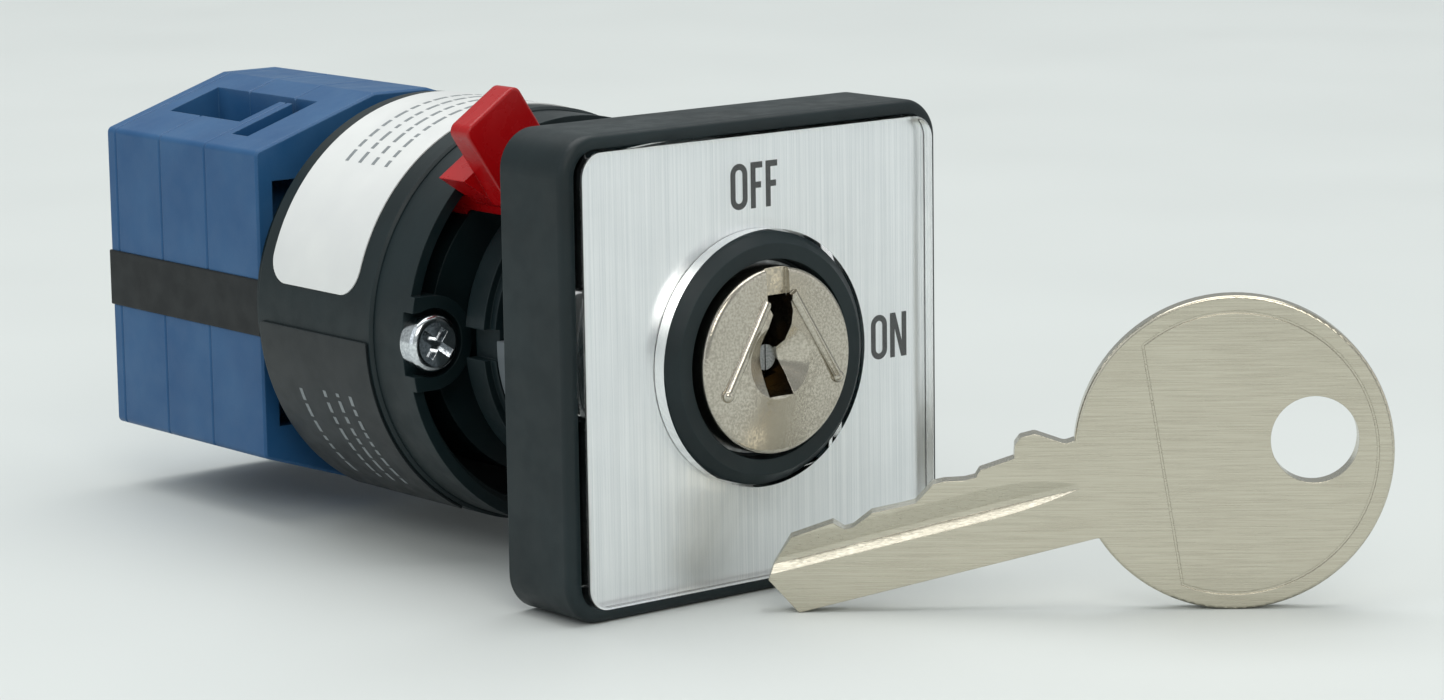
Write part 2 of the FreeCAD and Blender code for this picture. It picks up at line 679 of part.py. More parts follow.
# ---- housing ----
def mounting_housing():
    front_y, back_y = HOUSING_Y
    floor_y, rear_floor_y = HOUSING_FLOOR_Y
    profile = [(HOUSING_R, back_y), (HOUSING_R, front_y + 0.3), (HOUSING_R - 0.3, front_y),
               (HOUSING_FRONT_BORE_R, front_y), (HOUSING_FRONT_BORE_R, floor_y),
               (SPIGOT_OUTER_R, floor_y), (SPIGOT_OUTER_R, SPIGOT_FRONT_Y),
               (SPIGOT_BORE_R, SPIGOT_FRONT_Y), (SPIGOT_BORE_R, rear_floor_y),
               (HOUSING_REAR_BORE_R, rear_floor_y), (HOUSING_REAR_BORE_R, back_y)]
    shell = turned(profile)
    parts = [shell] + leaf_posts() + stop_posts()
    housing = joined(parts)
    for x in (-CAGE_SCREW_X, CAGE_SCREW_X):
        housing = housing.cut(disc(CAGE_SCREW_R, 0, CAGE_SCREW_END_Y + 0.2, x))
    return housing


def leaf_posts():
    """Slotted posts that hold the ends of the detent leaves."""
    posts = []
    for flip_x in (False, True):
        for flip_z in (False, True):
            post = block(NOSE_X + LEAF_THICKNESS, NOSE_X + LEAF_POST_WIDTH, HOUSING_FLOOR_Y[1] - 0.5,
                         WHEEL_Y[1], LEAF_HALF_LENGTH - LEAF_POST_WIDTH, LEAF_HALF_LENGTH + LEAF_POST_OVER)
            posts.append(across(post, flip_x, flip_z))
    return posts


def stop_posts():
    """Two blocks that the arm of the stop disc turns between."""
    posts = []
    sweep_from = STOP_ARM_CLOCK - STOP_ARM_ANGLE / 2 - STOP_GAP_ANGLE
    sweep_to = STOP_ARM_CLOCK + 90 + STOP_ARM_ANGLE / 2 + STOP_GAP_ANGLE
    band = ring(HOUSING_REAR_BORE_R + 0.5, STOP_POST_INNER_R, STOP_Y[0] - STOP_POST_LEAD, BEARING_Y[0])
    spans = [(sweep_from - STOP_POST_ANGLE, sweep_from), (sweep_to, sweep_to + STOP_POST_ANGLE)]
    for clock_from, clock_to in spans:
        posts.append(band.common(sector(clock_from, clock_to, 0, FAR)))
    return posts


def front_cage():
    """Front ring of the housing with a screw cup at 9 and at 3 o'clock."""
    rim = ring(CAGE_R, HOUSING_FRONT_BORE_R, CAGE_FRONT_Y, HOUSING_Y[0])
    lip = ring(HOUSING_FRONT_BORE_R + 0.3, CAGE_LIP_R, *CAGE_LIP_Y)
    cup = disc(CUP_R, CUP_FRONT_Y, CUP_FLOOR_Y[1], -CAGE_SCREW_X)
    sides = block(-FAR, -CAGE_SCREW_X, CUP_FRONT_Y, CUP_FLOOR_Y[1], -CUP_R, CUP_R)
    post = block(-FAR, -LOCK_RING_R - 0.3, CUP_FLOOR_Y[0], HOUSING_FLOOR_Y[0], -2.6, 2.6)
    inside_bore = disc(HOUSING_FRONT_BORE_R - 0.05, HOUSING_Y[0], FAR)
    inside_rim = disc(CAGE_R, 0, HOUSING_Y[0])
    envelope = joined([inside_rim, inside_bore])
    bore = joined([disc(CUP_BORE_R, 0, CUP_FLOOR_Y[0], -CAGE_SCREW_X),
                   block(-FAR, -CAGE_SCREW_X, 0, CUP_FLOOR_Y[0], -CUP_BORE_R + 0.3, CUP_BORE_R - 0.3)])
    cage = [rim, lip]
    for flip_x in (False, True):
        cage.append(across(joined([cup, sides, post]).common(envelope), flip_x, False))
    cage = joined(cage)
    for flip_x in (False, True):
        cage = cage.cut(across(bore, flip_x, False))
        x = CAGE_SCREW_X if flip_x else -CAGE_SCREW_X
        cage = cage.cut(disc(CAGE_SCREW_R + 0.02, 0, FAR, x))
    return cage


def cross_recess(width, depth, y, x, toward):
    """Cross slot sunk into a screw head at y; toward is +1 for rearward."""
    y0, y1 = sorted((y - toward * CUT_OVER, y + toward * depth))
    long_bar = block(-SLOT_REACH, SLOT_REACH, y0, y1, -width / 2, width / 2)
    short_bar = block(-width / 2, width / 2, y0, y1, -CROSS_REACH, CROSS_REACH)
    cross = joined([long_bar, short_bar])
    cross.rotate(ORIGIN, REARWARD, RECESS_TURN)
    cross.translate(V(x, 0, 0))
    return cross


def cage_screws():
    screws = []
    for x in (-CAGE_SCREW_X, CAGE_SCREW_X):
        head = disc(CAGE_SCREW_HEAD_R, CAGE_SCREW_HEAD_Y, CUP_FLOOR_Y[0], x)
        head = head.makeFillet(CAGE_SCREW_HEAD_ROUND, edges_at_y(head, CAGE_SCREW_HEAD_Y))
        shank = disc(CAGE_SCREW_R, CUP_FLOOR_Y[0] - 0.5, CAGE_SCREW_END_Y, x)
        screw = joined([head, shank])
        screws.append(screw.cut(cross_recess(0.9, 1.2, CAGE_SCREW_HEAD_Y, x, 1)))
    return Part.makeCompound(screws)


def curved_patch(outer, inner, y_span, clock_span, corner):
    """Thin patch on the housing's outside with rounded corners."""
    y0, y1 = y_span
    patch = ring(outer, inner, y0, y1).common(sector(clock_span[0], clock_span[1], y0, y1))
    inset = math.degrees(corner / outer)
    for y, rear in ((y0, -1), (y1, 1)):
        centre_y = y - rear * corner
        low_y, high_y = sorted((centre_y, y + rear * CUT_OVER))
        for clock, outward in ((clock_span[0] + inset, -1), (clock_span[1] - inset, 1)):
            low_x, high_x = sorted((0.0, outward * 2 * corner))
            waste = block(low_x, high_x, low_y, high_y, inner - CUT_OVER, outer + CUT_OVER)
            waste = waste.cut(Part.makeCylinder(corner, FAR, V(0, centre_y, 0)))
            patch = patch.cut(turned_to(waste, clock))
    return patch


def info_label():
    return curved_patch(HOUSING_R + LABEL_RISE, HOUSING_R, LABEL_Y, LABEL_CLOCK, 3.0)


def rating_pad():
    return curved_patch(HOUSING_R + PAD_RISE, HOUSING_R, PAD_Y, PAD_CLOCK, 0.4)


def bearing_plate():
    spigot_y, flange_y, back_y = BEARING_Y
    body = joined([disc(BEARING_R, spigot_y, flange_y), disc(BEARING_FLANGE_R, flange_y, back_y)])
    body = body.cut(disc(SHAFT_BORE_R, -FAR, 2 * FAR))
    for x in (-TIE_X, TIE_X):
        body = body.cut(disc(TIE_R, flange_y + 1, FAR, x))
    return body


# ---- contact block ----
def block_outline():
    w, s, t, r = BLOCK_HALF_WIDTH, BLOCK_SIDE_Z, BLOCK_TOP_Z, BLOCK_RIDGE_X
    return [(-w, -s), (-w, s), (-r, t), (r, t), (w, s), (w, -s), (r, -t), (-r, -t)]


def block_slice(y0, y1):
    """One slice of the blue block, with soft long edges and a fine line at its seams."""
    body = plate(block_outline(), y0, y1)
    body = body.makeFillet(BLOCK_EDGE_ROUND, edges_along(body, REARWARD))
    ends = edges_at_y(body, y0) + edges_at_y(body, y1)
    body = body.makeChamfer(SEAM_CHAMFER, ends)
    for flip_x in (False, True):
        strip = block(BLOCK_HALF_WIDTH - STRIP_SINK, FAR, 0, 2 * FAR, STRIP_Z[0], STRIP_Z[1])
        body = body.cut(across(strip, flip_x, False))
    for flip_x in (False, True):
        for flip_z in (False, True):
            body = body.cut(across(terminal_recess(), flip_x, flip_z))
    for x in (-TIE_X, TIE_X):
        body = body.cut(disc(TIE_R, -FAR, 2 * FAR, x))
    return body


def terminal_recess():
    """Screwdriver pocket, front slot and the channel that links them."""
    pocket = block(POCKET_X[0], POCKET_X[1], POCKET_Y[0], POCKET_Y[1], FIXED_Z[1], FAR)
    slot = block(SLOT_X[0], SLOT_X[1], SLOT_Y[0], SLOT_Y[1], SLOT_FLOOR_Z, FAR)
    link = block(LINK_X[0], LINK_X[1], SLOT_Y[0], POCKET_Y[1], LINK_FLOOR_Z, FAR)
    return joined([pocket, slot, link])


def adapter_stage():
    body = block_slice(STAGE_Y[0], STAGE_Y[1])
    corner = block(ADAPTER_POCKET_X[0], ADAPTER_POCKET_X[1], 0, ADAPTER_POCKET_END_Y, *ADAPTER_POCKET_Z)
    for flip_x in (False, True):
        for flip_z in (False, True):
            body = body.cut(across(corner, flip_x, flip_z))
    return body.cut(disc(SHAFT_BORE_R, -FAR, 2 * FAR))


def stage_span(stage):
    return STAGE_Y[stage], STAGE_Y[stage + 1]


def cam_middle(stage):
    y0, y1 = stage_span(stage)
    return (y0 + y1 - PARTITION) / 2


def contact_stage(stage):
    """Open cup with a cam bore, two plunger guides and two contact chambers."""
    y0, y1 = stage_span(stage)
    middle = cam_middle(stage)
    floor_y = y1 - PARTITION
    body = block_slice(y0, y1).cut(disc(SHAFT_BORE_R, -FAR, 2 * FAR))
    body = body.cut(disc(CAM_BORE_R, -FAR, floor_y))
    guide_x = PLUNGER_HALF_X + GUIDE_GAP
    guide_y = PLUNGER_HALF_Y + GUIDE_GAP
    for flip_z in (False, True):
        guide = block(-guide_x, guide_x, middle - guide_y, middle + guide_y, 0, CHAMBER_Z[0] + 1)
        chamber = block(-CHAMBER_HALF_X, CHAMBER_HALF_X, middle - CHAMBER_HALF_Y,
                        middle + CHAMBER_HALF_Y, CHAMBER_Z[0], CHAMBER_Z[1])
        body = body.cut(across(guide, False, flip_z)).cut(across(chamber, False, flip_z))
        for flip_x in (False, True):
            seat = block(FIXED_X[0], FIXED_X[1], middle - FIXED_HALF_Y, middle + FIXED_HALF_Y, *FIXED_Z)
            hole_z = FIXED_Z[0] - TERMINAL_SHANK_DEPTH - GUIDE_GAP
            hole = Part.makeCylinder(TERMINAL_SCREW_R, FIXED_Z[1] - hole_z, V(TERMINAL_X, middle, hole_z))
            body = body.cut(across(seat, flip_x, flip_z)).cut(across(hole, flip_x, flip_z))
    return body


def end_cover():
    """Closing plate; its outside edges are softened and it holds the screw heads."""
    cover = block_slice(STAGE_Y[3], END_COVER_Y)
    for x in (-TIE_X, TIE_X):
        cover = cover.cut(disc(TIE_R + 0.1, 0, 2 * FAR, x))
    return cover


def side_strip(flip_x):
    strip = block(BLOCK_HALF_WIDTH - STRIP_SINK, BLOCK_HALF_WIDTH + STRIP_RISE,
                  STAGE_Y[0], END_COVER_Y, *STRIP_Z)
    strip = strip.makeFillet(0.15, [e for e in edges_along(strip, REARWARD)
                                    if e.Vertexes[0].X > BLOCK_HALF_WIDTH])
    return across(strip, flip_x, False)


def plunger(stage, flip_z):
    """Cam follower with a round nose; it carries the bridge on its top."""
    middle = cam_middle(stage)
    foot_z = CAM_HIGH_R + FOLLOWER_GAP
    top_z = FIXED_Z[1] + BUTTON_HEIGHT * 2 + CONTACT_GAP_REST + CONTACT_TRAVEL
    nose = Part.makeCylinder(PLUNGER_NOSE_R, 2 * PLUNGER_HALF_Y,
                             V(0, middle - PLUNGER_HALF_Y, foot_z + PLUNGER_NOSE_R), REARWARD)
    stem = block(-PLUNGER_NOSE_R, PLUNGER_NOSE_R, middle - PLUNGER_HALF_Y, middle + PLUNGER_HALF_Y,
                 foot_z + PLUNGER_NOSE_R, foot_z + 2)
    body = block(-PLUNGER_HALF_X, PLUNGER_HALF_X, middle - PLUNGER_HALF_Y, middle + PLUNGER_HALF_Y,
                 foot_z + 1.6, top_z)
    return across(joined([nose, stem, body]), False, flip_z)


def bridge(stage, flip_z):
    """Moving contact bar with a silver button under each end."""
    middle = cam_middle(stage)
    z0 = FIXED_Z[1] + BUTTON_HEIGHT * 2 + CONTACT_GAP_REST + CONTACT_TRAVEL
    bar = block(-BRIDGE_HALF_X, BRIDGE_HALF_X, middle - BRIDGE_HALF_Y, middle + BRIDGE_HALF_Y,
                z0, z0 + BRIDGE_THICKNESS)
    shapes = [bar]
    for x in (-BUTTON_X, BUTTON_X):
        shapes.append(Part.makeCylinder(BUTTON_R, BUTTON_HEIGHT + 0.2, V(x, middle, z0 - BUTTON_HEIGHT)))
    return across(joined(shapes), False, flip_z)


def contact_spring(stage, flip_z):
    """Coil spring between the bridge and the outer wall of its chamber."""
    z0 = FIXED_Z[1] + BUTTON_HEIGHT * 2 + CONTACT_GAP_REST + CONTACT_TRAVEL + BRIDGE_THICKNESS
    end_room = CONTACT_WIRE_R + CONTACT_SPRING_PLAY
    spring = coil(CONTACT_SPRING_R, CONTACT_WIRE_R, CHAMBER_Z[1] - z0 - 2 * end_room, 4)
    spring.translate(V(0, cam_middle(stage), z0 + end_room))
    return across(spring, False, flip_z)


def terminal_places():
    """Every terminal: stage middle, left or right, top or bottom."""
    return [(cam_middle(stage), flip_x, flip_z)
            for stage in (1, 2) for flip_x in (False, True) for flip_z in (False, True)]


def fixed_contacts():
    contacts = []
    for middle, flip_x, flip_z in terminal_places():
        bar = block(FIXED_X[0], FIXED_X[1], middle - FIXED_HALF_Y, middle + FIXED_HALF_Y, *FIXED_Z)
        button = Part.makeCylinder(BUTTON_R, BUTTON_HEIGHT + 0.2, V(BUTTON_X, middle, FIXED_Z[1] - 0.2))
        bar = joined([bar, button])
        bar = bar.cut(Part.makeCylinder(TERMINAL_SCREW_R, FAR, V(TERMINAL_X, middle, 0)))
        contacts.append(across(bar, flip_x, flip_z))
    return Part.makeCompound(contacts)


def clamp_washers():
    washers = []
    for middle, flip_x, flip_z in terminal_places():
        washer = block(TERMINAL_X - WASHER_HALF_X, TERMINAL_X + WASHER_HALF_X, middle - WASHER_HALF_Y,
                       middle + WASHER_HALF_Y, FIXED_Z[1], TERMINAL_HEAD_Z[0])
        washer = washer.cut(Part.makeCylinder(TERMINAL_SCREW_R, FAR, V(TERMINAL_X, middle, 0)))
        washers.append(across(washer, flip_x, flip_z))
    return Part.makeCompound(washers)


def terminal_screws():
    screws = []
    z0, z1 = TERMINAL_HEAD_Z
    for middle, flip_x, flip_z in terminal_places():
        head = Part.makeCylinder(TERMINAL_HEAD_R, z1 - z0, V(TERMINAL_X, middle, z0))
        head = head.makeFillet(0.4, [e for e in head.Edges if len(e.Vertexes) == 1
                                     and abs(e.Vertexes[0].Z - z1) < 1e-4])
        shank = Part.makeCylinder(TERMINAL_SCREW_R, z0 - FIXED_Z[0] + TERMINAL_SHANK_DEPTH,
                                  V(TERMINAL_X, middle, FIXED_Z[0] - TERMINAL_SHANK_DEPTH))
        screw = joined([head, shank])
        for half_x, half_y in ((2.0, 0.4), (0.4, 1.5)):
            screw = screw.cut(block(TERMINAL_X - half_x, TERMINAL_X + half_x, middle - half_y,
                                    middle + half_y, z1 - 0.9, z1 + 1))
        screws.append(across(screw, flip_x, flip_z))
    return Part.makeCompound(screws)


def tie_screws():
    """Long screws from the end cover through the stages into the bearing plate."""
    screws = []
    for x in (-TIE_X, TIE_X):
        head = disc(TIE_HEAD_R, END_COVER_Y, END_COVER_Y + TIE_HEAD_LENGTH, x)
        head = head.makeFillet(TIE_HEAD_ROUND, edges_at_y(head, END_COVER_Y + TIE_HEAD_LENGTH))
        shank = disc(TIE_R, BEARING_Y[1] + 1.2, END_COVER_Y + 0.5, x)
        screw = joined([head, shank])
        screws.append(screw.cut(cross_recess(0.8, 1.2, END_COVER_Y + TIE_HEAD_LENGTH, x, -1)))
    return Part.makeCompound(screws)


# ---- key ----
def blade_outline():
    """Side view of the blade and shoulder, from the tip along the cuts to the bow."""
    cuts = [(KEY_TIP_U, 3.92), (-1.2, 5.2), (1.1, 7.5), (5.5, 7.9)]
    seats = [(6.4, 6.95), (7.3, 6.95), (9.4, 7.9), (12.4, 7.8), (13.8, 7.8), (15.9, 9.2), (17.0, 9.2)]
    rear = [(19.0, 8.8), (20.1, 8.8), (20.7, 9.4), (SHOULDER_U - 0.4, BLADE_HEIGHT)]
    hump = [(SHOULDER_U, 11.0), (25.3, 11.6), (26.8, 11.6), (29.4, 9.9), (31.5, 10.1), (34.0, 12.5)]
    return cuts + seats + rear + hump + [(40.0, 12.5), (40.0, -2.5), (33.0, -2.0), (30.5, 0.0), (0.0, 0.0)]


def groove_cutter(outline, side):
    """Groove along a face of the blade, ended by the run-out of a round cutter."""
    face_y = side * KEY_THICKNESS / 2
    section = [(face_y + side * CUT_OVER, outline[0][0])]
    section += [(face_y - side * depth, height) for height, depth in outline]
    section.append((face_y + side * CUT_OVER, outline[-1][0]))
    points = [V(GROOVE_LIFT_U, y, height) for y, height in section]
    face = Part.Face(Part.makePolygon(points + points[:1]))
    depth = max(depth for _, depth in outline)
    cutter_axis = V(GROOVE_LIFT_U, face_y + side * (GROOVE_CUTTER_R - depth), 0)
    return [face.extrude(V(-FAR, 0, 0)), face.revolve(cutter_axis, V(0, 0, side), 60)]


def engraved_line():
    """D-shaped line round the bow: an arc inside the edge, closed by a chord."""
    y0 = KEY_THICKNESS / 2 - ENGRAVED_LINE_DEPTH
    y1 = KEY_THICKNESS / 2 + CUT_OVER
    radius = BOW_R - ENGRAVED_LINE_INSET
    outer = disc(radius, y0, y1, BOW_U, BOW_W)
    inner = disc(radius - ENGRAVED_LINE_WIDTH, y0, y1, BOW_U, BOW_W)
    side_of_chord = block(ENGRAVED_CHORD_U, 2 * FAR, y0, y1, -FAR, FAR)
    inner_side = block(ENGRAVED_CHORD_U + ENGRAVED_LINE_WIDTH, 2 * FAR, y0, y1, -FAR, FAR)
    for half_plane in (side_of_chord, inner_side):
        half_plane.rotate(V(ENGRAVED_CHORD_U, 0, BOW_W), REARWARD, ENGRAVED_CHORD_TILT)
    return outer.common(side_of_chord).cut(inner.common(inner_side))


def rounded_corners(blade):
    """Softens the corners of the hump and of the necks beside the bow."""
    corners = [(25.3, 11.6, 0.5), (26.8, 11.6, 0.8), (29.4, 9.9, 1.0), (31.5, 10.1, 1.2),
               (30.5, 0.0, 1.5)]
    for u, w, radius in corners:
        edges = [e for e in edges_along(blade, REARWARD)
                 if math.hypot(e.Vertexes[0].X - u, e.Vertexes[0].Z - w) < 0.01]
        blade = blade.makeFillet(radius, edges)
    return blade


def key_flat():
    """The key in its own axes: X along the blade, Z up to the cuts, Y through it."""
    half = KEY_THICKNESS / 2
    blade = rounded_corners(plate(blade_outline(), -half, half))
    bow = disc(BOW_R, -half, half, BOW_U, BOW_W)
    bow = bow.makeFillet(BOW_EDGE_ROUND, edges_at_y(bow, -half) + edges_at_y(bow, half))
    key = joined([blade, bow]).cut(disc(KEY_HOLE_R, -FAR, FAR, KEY_HOLE_U, KEY_HOLE_W))
    for cutter in groove_cutter(SIDE_GROOVE, -1) + groove_cutter(BACK_GROOVE, 1):
        key = key.cut(cutter)
    line = engraved_line().mirror(ORIGIN, V(0, 1, 0))
    return key.cut(line)


def key():
    """The loose key, standing on the bow and the heel of its tip."""
    shape = key_flat()
    tilt = math.degrees(math.asin(BOW_R / math.hypot(BOW_U, BOW_W)) - math.atan2(BOW_W, BOW_U))
    shape.rotate(ORIGIN, V(0, 1, 0), -tilt)
    shape.rotate(ORIGIN, V(0, 0, 1), KEY_HEADING)
    shape.translate(V(KEY_FOOT_X, KEY_FOOT_Y, FLOOR_Z))
    return shape


# ---- all nodes ----
def all_nodes():
    nodes = {
        "bezel_frame": bezel_frame(),
        "label_plate": label_plate(),
        "clear_cover": clear_cover(),
        "panel_gasket": panel_gasket(),
        "neck_barrel": neck_barrel(),
        "lock_body": lock_body(),
        "lock_plug": lock_plug(),
        "wafer_tumblers": wafer_tumblers(),
        "wafer_springs": wafer_springs(),
        "keyway_shutter": keyway_shutter(),
        "plug_clip": plug_clip(),
        "drive_coupling": drive_coupling(),
        "switch_shaft": switch_shaft(),
        "panel_spacer": panel_spacer(),
        "ring_nut": ring_nut(),
        "locking_ring": locking_ring(),
        "locking_lever": locking_lever(),
        "front_cage": front_cage(),
        "mounting_housing": mounting_housing(),
        "cage_screws": cage_screws(),
        "info_label": info_label(),
        "rating_pad": rating_pad(),
        "detent_wheel": detent_wheel(),
        "detent_spring_right": detent_spring(),
        "detent_spring_left": across(detent_spring(), True, False),
        "stop_disc": stop_disc(),
        "bearing_plate": bearing_plate(),
        "adapter_stage": adapter_stage(),
        "end_cover": end_cover(),
        "side_strip_right": side_strip(False),
        "side_strip_left": side_strip(True),
        "fixed_contacts": fixed_contacts(),
        "clamp_washers": clamp_washers(),
        "terminal_screws": terminal_screws(),
        "tie_screws": tie_screws(),
        "key": key(),
    }
    for stage in (1, 2):
        nodes["contact_stage_%d" % stage] = contact_stage(stage)
        nodes["contact_cam_%d" % stage] = contact_cam(stage)
        for place, flip_z in (("top", False), ("bottom", True)):
            nodes["plunger_%s_%d" % (place, stage)] = plunger(stage, flip_z)
            nodes["bridge_%s_%d" % (place, stage)] = bridge(stage, flip_z)
            nodes["contact_spring_%s_%d" % (place, stage)] = contact_spring(stage, flip_z)
    return nodes


def write_nodes(nodes):
    os.makedirs("parts", exist_ok=True)
    for name, shape in sorted(nodes.items()):
        solids = shape.Solids
        assert solids and all(s.isValid() and s.Volume > 0 for s in solids), name
        if len(solids) == 1:
            shape = solids[0]
        shape.exportStep("parts/%s.step" % name)


write_nodes(all_nodes())
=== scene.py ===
import json
import math
import random

import bmesh
import bpy
from mathutils import Euler, Matrix, Vector


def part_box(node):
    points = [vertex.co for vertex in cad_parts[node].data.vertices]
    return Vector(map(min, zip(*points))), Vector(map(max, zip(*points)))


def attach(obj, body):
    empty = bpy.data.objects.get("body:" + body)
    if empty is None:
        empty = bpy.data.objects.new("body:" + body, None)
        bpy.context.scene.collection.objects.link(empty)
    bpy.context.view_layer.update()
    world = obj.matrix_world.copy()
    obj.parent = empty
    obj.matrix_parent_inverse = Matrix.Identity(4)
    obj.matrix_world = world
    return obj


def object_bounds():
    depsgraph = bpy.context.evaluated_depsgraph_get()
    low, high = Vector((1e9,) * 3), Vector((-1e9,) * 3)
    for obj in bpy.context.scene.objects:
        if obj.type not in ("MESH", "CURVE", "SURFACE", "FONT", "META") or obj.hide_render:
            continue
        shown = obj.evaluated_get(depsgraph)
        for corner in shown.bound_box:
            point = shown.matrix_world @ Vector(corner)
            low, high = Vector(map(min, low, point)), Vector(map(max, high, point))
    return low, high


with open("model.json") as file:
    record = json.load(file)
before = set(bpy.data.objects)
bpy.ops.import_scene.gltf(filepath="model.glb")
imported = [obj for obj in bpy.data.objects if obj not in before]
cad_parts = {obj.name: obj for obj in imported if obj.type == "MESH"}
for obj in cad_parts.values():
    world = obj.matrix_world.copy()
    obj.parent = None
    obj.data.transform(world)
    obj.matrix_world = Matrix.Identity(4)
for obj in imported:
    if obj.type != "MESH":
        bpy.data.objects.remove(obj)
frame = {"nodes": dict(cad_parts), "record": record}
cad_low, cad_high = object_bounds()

# Looks of a key-operated selector switch with its loose key.
# Metres. X right seen from the front, Y into the panel, Z up; patterns are given in millimetres.

MM = 0.001
RECORD = frame["record"]
NODES = frame["nodes"]

# where things lie, taken from the frame
FLOOR_Z = cad_low.z
PLATE_FACE_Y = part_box("label_plate")[0].y
KEY_FACE = next(m for m in RECORD["mounts"] if m["name"] == "key_hole")["axis"]
KEY_TURN = math.atan2(KEY_FACE[0], KEY_FACE[1])
LABEL_R = max(v.co.xz.length for v in NODES["info_label"].data.vertices)
PAD_R = max(v.co.xz.length for v in NODES["rating_pad"].data.vertices)

# print on the front plate
LETTER_HEIGHT = 4.6 * MM
LETTER_STROKE = 0.62 * MM
LETTER_GAP = 0.42 * MM
LETTER_WIDTHS = {"O": 2.15 * MM, "F": 1.5 * MM, "N": 2.2 * MM}
F_BAR_SHARE = 0.88
N_LEAN = 1.15 * LETTER_STROKE
N_SLANT = 2.6 * LETTER_STROKE
BOWL_STEPS = 16
INK_THICKNESS = 0.02 * MM
OFF_CENTRE = (0.0, 17.2 * MM)
ON_CENTRE = (17.5 * MM, 0.0)

# small print on the housing: clock angles seen from the front, rows along Y
ROW_HEIGHT = 0.55 * MM
LABEL_PRINT_CLOCK = (-42.0, 30.0)
LABEL_ROWS = [y * MM for y in (32.6, 35.0, 37.4, 39.8)]
PAD_PRINT_CLOCK = (-140.0, -108.0)
PAD_ROWS = [y * MM for y in (31.0, 33.4, 35.8, 40.4)]
BAR_DEGREES = (1.6, 4.6)
GAP_DEGREES = (0.9, 1.8)
STEP_DEGREES = 3
LABEL_SEED = 3
PAD_SEED = 7

# most of a cloudy pattern's heights lie in this range
CLOUDS = {"From Min": 0.35, "From Max": 0.65}

# plastics: patch sizes in mm, and how far flow and the lighter edges (partly wear, partly painted edge
# highlight) pull the colour
FLOW_SIZE = 9.0
FLOW_SHARE = 0.18
GLOSS_SIZE = 2.5
EDGE_WEAR_AND_HIGHLIGHT_SHARE = 0.7
GLOSS_DROP = 0.05
GLOSS_RISE = 0.06
EDGE_FACING = 0.75
EDGE_SAMPLES = 4

# metals: size in mm and share of the slow cloudiness under the finer marks
TARNISH_SIZE = 5.0
TARNISH_SHARE = 0.2
MARK_RISE = 0.07
MARK_DROP = 0.05

# camera
CAMERA_PLACE = (-0.268024, -0.335619, 0.074964)
CAMERA_HEADING = 38.96
CAMERA_PITCH = -9.98
CAMERA_ROLL = -0.838
CAMERA_LENS = 107.356
CAMERA_SENSOR = 36.0
CAMERA_RANGE = (0.01, 20.0)

# room and lamps: name, place, side, watts, tone
ROOM_TONE = "#E6ECEC"
ROOM_STRENGTH = 0.5
FLOOR_HALF = 6.0
FLOOR_CELLS = 8
LAMP_AIM = (0.0, 0.02, 0.0)
LAMPS = [
    ("top_softbox", (0.24, 0.34, 2.20), 2.4, 46.0, "#FFFFFF"),
    ("left_softbox", (-0.95, 0.10, 0.45), 1.1, 2.4, "#F4F8FF"),
    ("right_softbox", (1.20, -1.30, 0.55), 1.5, 3.8, "#FFFFFF"),
    ("front_softbox", (-0.45, -0.75, 0.60), 0.5, 3.0, "#FFFBF4"),
]


# ---- building blocks for finishes ----
def colour(code, alpha=1.0):
    """Linear colour from an sRGB hex code."""
    parts = []
    for i in (0, 2, 4):
        c = int(code.lstrip("#")[i:i + 2], 16) / 255
        parts.append(c / 12.92 if c <= 0.04045 else ((c + 0.055) / 1.055) ** 2.4)
    return (*parts, alpha)


def add(tree, kind, inputs=None, **settings):
    """Adds a node; an input is a plain value or the socket that feeds it."""
    made = tree.nodes.new(kind)
    for name, value in settings.items():
        setattr(made, name, value)
    for name, value in (inputs or {}).items():
        if isinstance(value, bpy.types.NodeSocket):
            tree.links.new(value, made.inputs[name])
        else:
            made.inputs[name].default_value = value
    return made


def finish(name, **values):
    """New material with one shader; the values are its own sockets, underscores for spaces."""
    material = bpy.data.materials.new(name)
    material.use_nodes = True
    tree = material.node_tree
    tree.nodes.clear()
    shader = add(tree, "ShaderNodeBsdfPrincipled", {k.replace("_", " "): v for k, v in values.items()})
    add(tree, "ShaderNodeOutputMaterial", {"Surface": shader.outputs["BSDF"]})
    return material, tree, shader


def blotches(tree, size, stretch=(1, 1, 1), turn=0.0, detail=3.0):
    """Cloudy height from 0 to 1 with patches of a size in mm, drawn out along the axes."""
    place = add(tree, "ShaderNodeTexCoord")
    turned = add(tree, "ShaderNodeMapping", {"Vector": place.outputs["Object"], "Rotation": (0, 0, turn)})
    scale = [1 / (size * MM * s) for s in stretch]
    sized = add(tree, "ShaderNodeMapping", {"Vector": turned.outputs["Vector"], "Scale": scale})
    noise = add(tree, "ShaderNodeTexNoise", {"Vector": sized.outputs["Vector"], "Scale": 1.0,
                                             "Detail": detail})
    return noise.outputs["Fac"]


def worn_and_lit_edge(tree, width):
    """1 on outside edges of a width in mm, 0 on the flats."""
    soft = add(tree, "ShaderNodeBevel", {"Radius": width * MM}, samples=EDGE_SAMPLES)
    face = add(tree, "ShaderNodeNewGeometry")
    same = add(tree, "ShaderNodeVectorMath", {0: soft.outputs["Normal"], 1: face.outputs["Normal"]},
               operation="DOT_PRODUCT")
    edge = add(tree, "ShaderNodeMapRange", {"Value": same.outputs["Value"], "From Min": EDGE_FACING,
                                            "From Max": 1.0, "To Min": 1.0, "To Max": 0.0})
    return edge.outputs["Result"]


